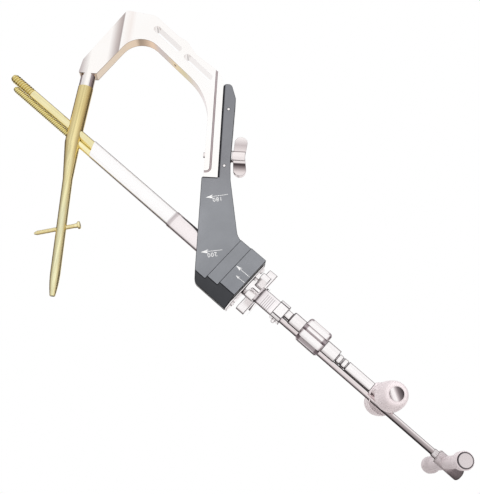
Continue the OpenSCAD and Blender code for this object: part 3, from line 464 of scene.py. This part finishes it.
def ink(name, colour, rough):
    """A matte ink, a little worn."""
    g = surface(name)
    broad = g.noise(g.coords("plain", (1, 1, 1)), 700.0, 4.0, 0.7)
    worn = [c * 0.82 for c in colour[:3]] + [1]
    g.link(g.mix(g.spread(broad, 0.0, 1.0), colour, worn), g.shader.inputs["Base Color"])
    g.link(g.spread(broad, rough, rough + 0.2), g.shader.inputs["Roughness"])
    return g.material


LOOKS = {
    # The gold looks' side colours are a painted shade on the faces that look sideways
    "gold_upper": metal("gold_nail", rgb(255, 251, 212), rgb(253, 245, 196), 0.18, "upper", brush=0.0008,
                        streak=0.3, side=rgb(244, 228, 172), shade=nail_shade),
    "gold_lag": metal("gold_lag_screw", rgb(252, 243, 196), rgb(244, 233, 178), 0.2, "guide", lathe=0.0006,
                      streak=0.2, side=rgb(244, 230, 176),
                      shade=root_shade(LAG_X, 4.0, 4.7, rgb(172, 160, 116), rgb(214, 202, 152))),
    "gold_screw": metal("gold_screw", rgb(254, 246, 202), rgb(246, 236, 184), 0.22, "guide", lathe=0.0006,
                        shade=root_shade(COMP_X, 2.75, 3.4, rgb(206, 194, 140), rgb(60, 54, 26))),
    "gold_lock": metal("gold_lock", rgb(248, 240, 198), rgb(236, 226, 176), 0.22, "lock", lathe=0.0008,
                       side=rgb(232, 214, 156)),
    "handle": metal("polished_handle", rgb(255, 254, 253), rgb(254, 251, 249), 0.12, shade=handle_shade),
    "wing": metal("polished_wing", rgb(252, 248, 247), rgb(244, 238, 237), 0.18, grain=0.001,
                  shade=wing_shade),
    "bright": metal("turned_bright", rgb(252, 249, 249), rgb(244, 239, 239), 0.18, "guide", lathe=0.0005),
    "bright_upper": metal("turned_bolt", rgb(250, 246, 246), rgb(238, 232, 234), 0.14, "upper", lathe=0.0008),
    "satin": metal("satin_steel", rgb(253, 250, 250), rgb(246, 241, 241), 0.2, "guide", lathe=0.0004),
    "graduated": metal("graduated_tube", rgb(253, 250, 251), rgb(248, 244, 245), 0.2, "guide", lathe=0.0003,
                       shade=tube_shade),
    "drawn": metal("stepped_sleeve", rgb(255, 254, 254), rgb(253, 251, 251), 0.16, "guide", lathe=0.0001,
                   shade=sleeve_shade),
    "driver": metal("turned_driver", rgb(253, 250, 250), rgb(246, 241, 241), 0.18, "guide", lathe=0.0005),
    "knob": metal("satin_knob", rgb(255, 252, 252), rgb(250, 246, 246), 0.2, "guide", lathe=0.0004,
                  shade=knob_shade),
    "warm": metal("blasted_grip", rgb(242, 231, 233), rgb(237, 225, 228), 0.5, "across", grain=0.0001,
                  metallic=0.2),
    "lag_cap": metal("polished_lag_cap", rgb(252, 248, 248), rgb(244, 239, 240), 0.12, "across",
                     shade=cap_painted_reflection),
    "cap": metal("polished_cap", rgb(218, 209, 210), rgb(206, 197, 198), 0.16, "across", lathe=0.0005),
    "rod": metal("ground_rod", rgb(252, 247, 247), rgb(240, 235, 235), 0.14, "guide", brush=0.0006,
                 shade=rod_shade),
    "ferrule": metal("ferrule", rgb(226, 220, 221), rgb(212, 206, 207), 0.14, "guide", lathe=0.0005),
    "grip": metal("turned_grip", rgb(230, 219, 222), rgb(223, 212, 215), 0.45, "across", lathe=0.0002,
                  metallic=0.2),
    "hub": metal("turned_hub", rgb(214, 205, 207), rgb(202, 193, 195), 0.3, "guide", lathe=0.0008,
                 metallic=0.5, shade=hub_shade),
    # The arm's near-black side colour is a painted shade on the faces that look sideways
    "arm": metal("anodised_arm", rgb(164, 166, 171), rgb(153, 155, 160), 0.36, grain=0.0015, cloud=9.0,
                 fine=1600.0, side=rgb(19, 19, 22), shade=arm_shade),
    # Painted shade lines for the rounded edges: grey, pale and near black
    "grey_line": metal("painted_shade_edge", rgb(112, 105, 108), rgb(98, 92, 95), 0.34, grain=0.0004),
    "light_line": metal("soft_edge", rgb(206, 198, 199), rgb(190, 182, 184), 0.25, grain=0.0004),
    "black_line": metal("anodised_painted_shade_edge", rgb(44, 44, 47), rgb(34, 34, 37), 0.4, grain=0.001),
    "white_ink": ink("engraved_white", rgb(250, 250, 250), 0.55),
}

NODE_LOOKS = {
    "gold_upper": ["nail"], "gold_lag": ["lag_screw"], "gold_screw": ["compression_screw"],
    "gold_lock": ["distal_screw"], "bright_upper": ["nail_bolt"], "handle": ["handle"], "arm": ["aiming_arm"],
    "bright": ["arm_dowels", "arm_pins", "wing_washer", "guide_bush", "end_plate", "plate_screws"],
    "wing": ["wing_screw"], "drawn": ["guide_sleeve"], "graduated": ["graduated_tube"],
    "satin": ["star_wheel", "sleeve_collar", "collar_screw"], "driver": ["lag_shaft", "grooved_rings"],
    "knob": ["fluted_knob"], "warm": ["lag_hub", "lag_grip"], "lag_cap": ["lag_grip_caps"],
    "rod": ["compression_shaft"], "ferrule": ["compression_ferrule"], "hub": ["compression_hub"],
    "grip": ["compression_grip"], "cap": ["compression_grip_caps"],
}


def paint(obj, look):
    obj.data.materials.clear()
    obj.data.materials.append(LOOKS[look])


for look, nodes in NODE_LOOKS.items():
    for node in nodes:
        paint(NODES[node], look)


# Rounded edges, with a painted shade line along them

# For each node the width of its rounding, its edges' look, a painted shade line, and whether the rounding
# stops where edges meet
ROUNDED = {
    "handle": (0.6, "light_line", True),
    "aiming_arm": (0.5, "black_line", False),
    "wing_screw": (0.4, "light_line", True),
    "end_plate": (0.4, "grey_line", False),
    "guide_sleeve": (0.3, "light_line", True),
    "star_wheel": (0.6, "grey_line", False),
    "graduated_tube": (0.35, "grey_line", True),
    "sleeve_collar": (0.7, "grey_line", False),
    "lag_shaft": (0.6, "grey_line", False),
    "grooved_rings": (0.35, "grey_line", False),
    "lag_hub": (0.4, "grey_line", True),
    "compression_ferrule": (0.3, "grey_line", True),
    "compression_hub": (0.4, "grey_line", True),
    "compression_grip_caps": (0.6, "grey_line", True),
}


def round_edges(obj, width, line, clamp):
    """Joins the CAD faces' shared edges and rounds the sharp ones, which get a look of their own, a painted
    shade line.
    """
    obj.data.materials.append(LOOKS[line])
    weld = obj.modifiers.new("weld", "WELD")
    weld.merge_threshold = 1e-6
    flat = obj.modifiers.new("flat", "DECIMATE")
    flat.decimate_type = "DISSOLVE"
    flat.angle_limit = math.radians(0.4)
    bevel = obj.modifiers.new("bevel", "BEVEL")
    bevel.width = width * MM
    bevel.segments = 2
    bevel.limit_method = "ANGLE"
    bevel.angle_limit = math.radians(32)
    bevel.use_clamp_overlap = clamp
    bevel.miter_outer = "MITER_ARC"
    # the rounded edges take the painted shade line's look
    bevel.material = 1
    normals = obj.modifiers.new("normals", "WEIGHTED_NORMAL")
    normals.keep_sharp = False
    normals.weight = 100


for node, (width, line, clamp) in ROUNDED.items():
    round_edges(NODES[node], width, line, clamp)


# Threads

SIDES = 72


def new_object(name, mesh, look):
    """A painted object in the scene from a finished bmesh."""
    data = bpy.data.meshes.new(name)
    mesh.to_mesh(data)
    mesh.free()
    obj = bpy.data.objects.new(name, data)
    bpy.context.scene.collection.objects.link(obj)
    paint(obj, look)
    return obj


def turned(name, place, rows, look, tube=False):
    """A turned piece from (height, radius) rows, where a radius may depend on the angle. A tube's last row
    joins its first, and any other piece is closed at both ends."""
    mesh = bmesh.new()
    rings = []
    for height, radius in rows:
        ring = []
        for k in range(SIDES):
            a = 2 * math.pi * k / SIDES
            r = radius(a) if callable(radius) else radius
            point = Vector((r * math.cos(a), r * math.sin(a), height))
            ring.append(mesh.verts.new(place @ (point * MM)))
        rings.append(ring)
    pairs = list(zip(rings, rings[1:]))
    if tube:
        pairs.append((rings[-1], rings[0]))
    else:
        mesh.faces.new(list(reversed(rings[0])))
        mesh.faces.new(rings[-1])
    for low, high in pairs:
        for k in range(SIDES):
            j = (k + 1) % SIDES
            mesh.faces.new((low[k], low[j], high[j], high[k]))
    obj = new_object(name, mesh, look)
    obj.data.shade_smooth()
    obj.data.set_sharp_from_angle(angle=math.radians(35))
    return obj


def crest(phase, flat=0.16, flank=0.17):
    """How high the thread stands, from 0 at its root to 1 at its crest, at a share of its pitch."""
    d = abs((phase % 1.0) - 0.5)
    if d <= flat / 2:
        return 1.0
    return max(0.0, 1 - (d - flat / 2) / flank)


def thread_rows(start, end, pitch, root, top, limit, keep=None, step=0.07):
    """Rows of a thread between two heights; limit caps the radius by the height, and keep by the angle."""
    count = math.ceil((end - start) / (pitch * step))
    rows = []
    for i in range(count + 1):
        s = start + (end - start) * i / count

        def radius(a, s=s):
            r = root + (top - root) * crest((s - start) / pitch + a / (2 * math.pi))
            r = min(r, limit(s))
            return min(r, keep(a)) if keep else r
        rows.append((s, radius))
    return rows


def hexagon(across):
    """The radius of a hexagon's outline at an angle."""
    return lambda a: across / 2 * math.cos(math.pi / 6) / math.cos((a % (math.pi / 3)) - math.pi / 6)


SCREW_BACK = 38.2  # where both screws end, on the guide line
BREAK = 0.3  # the chamfer of their back edges

LAG_TIP, LAG_THREAD_END = -98.4, -67.4
LAG_PITCH, LAG_ROOT_R, LAG_TOP_R, LAG_BODY_R, LAG_WIRE_R = 3.05, 4.0, 5.2, 4.95, 1.7
FLUTE_R = 3.75
FLUTE_AT = COMP_X - LAG_X


def flute(a):
    """How far from the lag screw's axis its flute lies, at an angle."""
    inside = FLUTE_R ** 2 - (FLUTE_AT * math.sin(a)) ** 2
    if inside <= 0 or math.cos(a) <= 0:
        return math.inf
    return FLUTE_AT * math.cos(a) - math.sqrt(inside)


def fluted(r):
    return lambda a: min(r, flute(a))


def lag_limit(s):
    """The lag thread's blunt tip, and how it runs out into the body."""
    if s < LAG_THREAD_END - 2:
        return 3.5 + min(LAG_TOP_R - 3.5, (s - LAG_TIP) * 0.5)
    return LAG_TOP_R - (LAG_TOP_R - LAG_BODY_R) * (s - LAG_THREAD_END + 2) / 2


lag_rows = thread_rows(LAG_TIP, LAG_THREAD_END, LAG_PITCH, LAG_ROOT_R, LAG_TOP_R, lag_limit, flute)
lag_rows += [(LAG_THREAD_END + 0.5, fluted(LAG_BODY_R)), (SCREW_BACK - BREAK, fluted(LAG_BODY_R)),
             (SCREW_BACK, fluted(LAG_BODY_R - BREAK)), (SCREW_BACK, LAG_WIRE_R), (LAG_TIP, LAG_WIRE_R)]
lag_thread = turned("lag_thread", LAG_LINE, lag_rows, "gold_lag", tube=True)
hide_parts("lag_screw")
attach(lag_thread, "lag")

COMP_TIP, COMP_THREAD_END = -87.0, -3.0
COMP_PITCH, COMP_ROOT_R, COMP_R, COMP_SOCKET_R = 2.4, 2.75, 3.6, 2.38


def comp_limit(s):
    """The compression thread's pointed tip."""
    return 2.2 + min(COMP_R - 2.2, (s - COMP_TIP) * 0.55)


comp_rows = thread_rows(COMP_TIP, COMP_THREAD_END, COMP_PITCH, COMP_ROOT_R, COMP_R, comp_limit)
comp_rows += [(COMP_THREAD_END + 1, COMP_R), (SCREW_BACK - BREAK, COMP_R), (SCREW_BACK, COMP_R - BREAK),
              (SCREW_BACK, COMP_SOCKET_R), (SCREW_BACK - 8, COMP_SOCKET_R)]
comp_thread = turned("compression_thread", COMP_LINE, comp_rows, "gold_screw")
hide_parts("compression_screw")
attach(comp_thread, "compression")

LOCK_TIP, LOCK_HEAD, LOCK_TOP = -28.4, 17.2, 20.4
LOCK_PITCH, LOCK_ROOT_R, LOCK_R, LOCK_HEAD_R, LOCK_HEX = 1.3, 2.15, 2.45, 4.1, 3.7


def lock_limit(s):
    """The distal screw's pointed tip."""
    return 0.95 + min(LOCK_R - 0.95, (s - LOCK_TIP) * 0.42)


lock_rows = [(LOCK_TIP, 0.9)]
lock_rows += thread_rows(LOCK_TIP + 0.1, LOCK_HEAD - 3.0, LOCK_PITCH, LOCK_ROOT_R, LOCK_R, lock_limit)
lock_rows += [(LOCK_HEAD - 2.6, LOCK_R), (LOCK_HEAD, LOCK_R), (LOCK_HEAD, LOCK_HEAD_R - 0.5),
              (LOCK_HEAD + 0.5, LOCK_HEAD_R), (LOCK_TOP - 1.1, LOCK_HEAD_R),
              (LOCK_TOP - 0.5, LOCK_HEAD_R - 0.25), (LOCK_TOP - 0.1, LOCK_HEAD_R - 0.9),
              (LOCK_TOP, LOCK_HEAD_R - 1.6),
              (LOCK_TOP, hexagon(LOCK_HEX)), (LOCK_TOP - 2.1, hexagon(LOCK_HEX))]
lock_thread = turned("distal_thread", LOCK_LINE, lock_rows, "gold_lock")
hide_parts("distal_screw")
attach(lock_thread, "locking")


# Arrows and numbers on the arm

MARK = 0.06 * MM  # how far a mark stands out from its face
ARM_Y, BLOCK_Y = -11.0, -16.0  # the front faces of the arm and of its slanted block


def flat_piece(name, outlines, y):
    """Flat outlines on a front face, given as (x, z) in millimetres."""
    mesh = bmesh.new()
    for outline in outlines:
        front = [mesh.verts.new((x * MM, y * MM - MARK, z * MM)) for x, z in outline]
        back = [mesh.verts.new((x * MM, y * MM, z * MM)) for x, z in outline]
        mesh.faces.new(front)
        mesh.faces.new(list(reversed(back)))
        for k in range(len(front)):
            j = (k + 1) % len(front)
            mesh.faces.new((front[k], back[k], back[j], front[j]))
    bmesh.ops.recalc_face_normals(mesh, faces=mesh.faces)
    obj = new_object(name, mesh, "white_ink")
    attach(obj, "frame")


def arrow(name, tail, head, y, shaft, head_len, head_w):
    """A thin shaft with a barbed solid head."""
    t, h = Vector(tail), Vector(head)
    along = (h - t).normalized()
    side = Vector((-along.y, along.x))
    neck = h - along * head_len * 0.75
    barb = h - along * head_len
    line = [t + side * shaft / 2, t - side * shaft / 2, neck - side * shaft / 2, neck + side * shaft / 2]
    point = [h, barb + side * head_w / 2, neck, barb - side * head_w / 2]
    flat_piece(name, [[tuple(p) for p in line], [tuple(p) for p in point]], y)


def numerals(name, body, centre):
    """A plain number on the arm's front, which reads upside down there."""
    curve = bpy.data.curves.new(name, "FONT")
    curve.body = body
    curve.align_x, curve.align_y = "CENTER", "CENTER"
    curve.size = 6.4 * MM
    curve.extrude = MARK / 2
    curve.space_character = 1.12
    curve.resolution_u = 3
    obj = bpy.data.objects.new(name, curve)
    obj.rotation_euler = (math.radians(90), math.radians(168), 0)
    obj.location = (centre[0] * MM, ARM_Y * MM - MARK / 2, centre[1] * MM)
    bpy.context.scene.collection.objects.link(obj)
    paint(obj, "white_ink")
    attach(obj, "frame")


arrow("arrow_upper", (172.7, 118.1), (149.4, 113.1), ARM_Y, 0.5, 8.0, 4.6)
arrow("arrow_lower", (170.4, 56.3), (148.2, 52.3), ARM_Y, 0.5, 8.0, 4.6)
arrow("block_arrow_long", (199.7, 27.2), (185.5, 38.7), BLOCK_Y, 0.5, 6.6, 3.6)
arrow("block_arrow_short", (194.9, 21.1), (185.6, 28.2), BLOCK_Y, 0.45, 4.4, 2.6)
numerals("number_upper", "180", (162.0, 112.1))
numerals("number_lower", "200", (160.4, 50.6))


# The room: pale floor, white surroundings and plain soft light

scene = bpy.context.scene
scene.view_settings.view_transform = "Standard"

FLOOR_X, FLOOR_Z, FLOOR_HALF = 0.17, -0.215, 3.0


def floor_look():
    """A pale matte floor that fades to white far off. Metal sees bands of light and dark there instead, by
    the distance behind the part, and these lie closer together towards the T-handles."""
    g = surface("pale_floor")
    patch = g.noise(g.coords("plain", (1, 1, 1)), 30.0)
    g.link(g.mix(patch, rgb(240, 238, 236), rgb(234, 232, 230)), g.shader.inputs["Base Color"])
    g.shader.inputs["Roughness"].default_value = 0.8
    stretch = g.calc("MINIMUM", g.calc("MAXIMUM", g.along("plain", (-0.0025, 0, 0), 0.85), 0.3), 1.04)
    behind = g.calc("DIVIDE", g.part(g.coords("plain", (1, 1, 1)), "Y"), stretch)
    bands = g.ramp(behind, [
        (-0.2, (1, 1, 1)), (-0.05, (0.72, 0.7, 0.7)), (0.07, (0.3, 0.28, 0.28)), (0.18, (0.07, 0.06, 0.064)),
        (0.55, (0.09, 0.08, 0.08)), (0.85, (0.66, 0.64, 0.64)), (1.3, (0.9, 0.88, 0.88))], -1, 2)
    rays = g.node("ShaderNodeLightPath").outputs
    mirror = g.node("ShaderNodeEmission")
    g.link(bands, mirror.inputs[0])
    mirrored = g.node("ShaderNodeMixShader")
    g.feed(mirrored.inputs, (rays["Is Glossy Ray"], g.shader.outputs[0], mirror.outputs[0]))
    reach = g.vector("LENGTH", g.coords("plain", (1, 1, 0)))["Value"]
    far = g.both(g.rises(reach, 0.45, 1.3), rays["Is Camera Ray"])
    faded = g.node("ShaderNodeMixShader")
    white = g.node("ShaderNodeEmission")
    g.feed(faded.inputs, (far, mirrored.outputs[0], white.outputs[0]))
    g.link(faded.outputs[0], g.out.inputs[0])
    return g.material


def make_floor():
    mesh = bmesh.new()
    bmesh.ops.create_grid(mesh, x_segments=8, y_segments=8, size=FLOOR_HALF)
    data = bpy.data.meshes.new("floor")
    mesh.to_mesh(data)
    mesh.free()
    floor = bpy.data.objects.new("floor", data)
    floor.location = (FLOOR_X, 0.0, FLOOR_Z)
    scene.collection.objects.link(floor)
    data.materials.append(floor_look())


def make_world():
    """White to the camera, one grey to matte surfaces, and soft bands from front to back to metal."""
    world = bpy.data.worlds.new("studio")
    scene.world = world
    world.use_nodes = True
    g = Graph(world.node_tree)
    way = g.node("ShaderNodeTexCoord").outputs["Generated"]
    white, dark = (1, 1, 1), (0.07, 0.06, 0.064)
    low = g.ramp(g.part(way, "Y"), [
        (-1, (1.05, 1.05, 1.05)), (-0.88, (1.02, 1.02, 1.02)), (-0.62, (0.78, 0.77, 0.77)),
        (-0.2, (0.55, 0.53, 0.53)), (0.2, (0.3, 0.28, 0.28)), (0.45, dark), (0.68, dark),
        (0.8, (0.8, 0.78, 0.78)), (0.9, (1, 0.98, 0.98)), (1, (1, 0.98, 0.98))], -1, 1)
    high = g.ramp(g.part(way, "Y"), [
        (-1, white), (0.1, white), (0.42, (0.6, 0.57, 0.58)), (0.56, dark),
        (0.8, dark), (0.92, (0.5, 0.47, 0.47)), (1, (0.8, 0.78, 0.78))], -1, 1)
    lifted = g.spread(g.part(way, "Z"), 0.0, 1.0, 0.38, 0.66, "SMOOTHSTEP")
    rays = g.node("ShaderNodeLightPath").outputs
    lit = g.mix(rays["Is Glossy Ray"], (0.72, 0.72, 0.72, 1), g.mix(lifted, low, high))
    shown = g.mix(g.calc("MAXIMUM", rays["Is Camera Ray"], rays["Is Transmission Ray"]), lit, PLAIN)
    ground = g.node("ShaderNodeBackground")
    g.link(shown, ground.inputs[0])
    g.link(ground.outputs[0], g.node("ShaderNodeOutputWorld").inputs[0])


def soft_lamp(name, place, aim, size, watts):
    """A round soft lamp that metal doesn't mirror, since the world holds what metal sees."""
    data = bpy.data.lights.new(name, "AREA")
    data.shape = "DISK"
    data.size = size
    data.energy = watts
    obj = bpy.data.objects.new(name, data)
    obj.location = place
    obj.rotation_euler = (Vector(aim) - Vector(place)).to_track_quat("-Z", "Y").to_euler()
    obj.visible_glossy = False
    scene.collection.objects.link(obj)


make_floor()
make_world()
soft_lamp("key", (-0.9, -1.3, 1.3), (0.15, 0, 0.08), 0.9, 14)
soft_lamp("fill", (1.4, -1.2, 0.5), (0.2, 0, 0.05), 1.1, 6)
soft_lamp("back", (0.2, 0.5, 1.9), (0.2, 0, 0.05), 0.9, 8)


# The camera, fitted to the photograph

FRAME_HEIGHT_PX, FOCAL_PX = 494, 750
CAMERA_AT = (0.18007, -0.74809, -0.18022)
CAMERA_TURN = Matrix((
    (0.99832524, -0.05683497, -0.0107939),
    (-0.02788342, -0.30925247, -0.95057111),
    (0.05068764, 0.94928009, -0.31031929)))

camera = bpy.data.cameras.new("camera")
camera.sensor_fit = "VERTICAL"
camera.sensor_height = 36
camera.lens = FOCAL_PX * camera.sensor_height / FRAME_HEIGHT_PX
camera.clip_start = 0.01
viewer = bpy.data.objects.new("camera", camera)
viewer.matrix_world = Matrix.Translation(CAMERA_AT) @ CAMERA_TURN.to_4x4()
scene.collection.objects.link(viewer)
scene.camera = viewer
